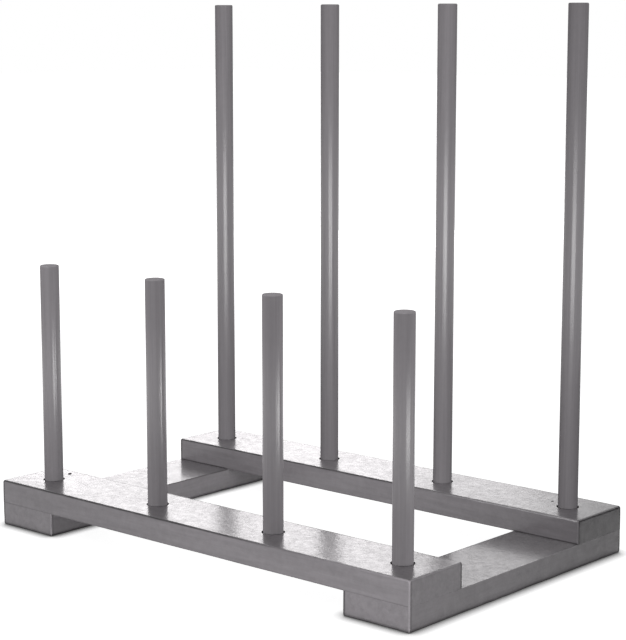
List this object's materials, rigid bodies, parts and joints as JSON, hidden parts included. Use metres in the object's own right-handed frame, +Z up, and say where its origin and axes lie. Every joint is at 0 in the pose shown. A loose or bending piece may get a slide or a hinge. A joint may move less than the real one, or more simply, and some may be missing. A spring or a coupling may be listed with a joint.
{
  "type": "boot rack",
  "caption": "Low free-standing painted wooden boot rack: rails on runners carry a front row of short upright poles and a back row of tall ones, for boots to hang upside down.",
  "frame": {"origin": "on the floor, under the middle of the rack", "axes": "+X along the rails to the right, +Y from the short front poles to the tall back poles, +Z up"},
  "size_m": [0.5, 0.31, 0.496],
  "materials": {
    "board_paint": "mid-grey satin paint over planed softwood, with faint grain and brush marks",
    "pole_paint": "mid-grey satin paint over smooth dowel",
    "screw_steel": "zinc-plated steel"
  },
  "bodies": {
    "root": {"front_rail": "board_paint", "back_rail": "board_paint", "left_runner": "board_paint", "right_runner": "board_paint", "short_pole_1": "pole_paint", "short_pole_2": "pole_paint", "short_pole_3": "pole_paint", "short_pole_4": "pole_paint", "tall_pole_1": "pole_paint", "tall_pole_2": "pole_paint", "tall_pole_3": "pole_paint", "tall_pole_4": "pole_paint", "front_pole_screws": "screw_steel", "back_pole_screws": "screw_steel", "front_left_corner_screws": "screw_steel", "front_right_corner_screws": "screw_steel", "back_left_corner_screws": "screw_steel", "back_right_corner_screws": "screw_steel"}
  },
  "joints": []
}
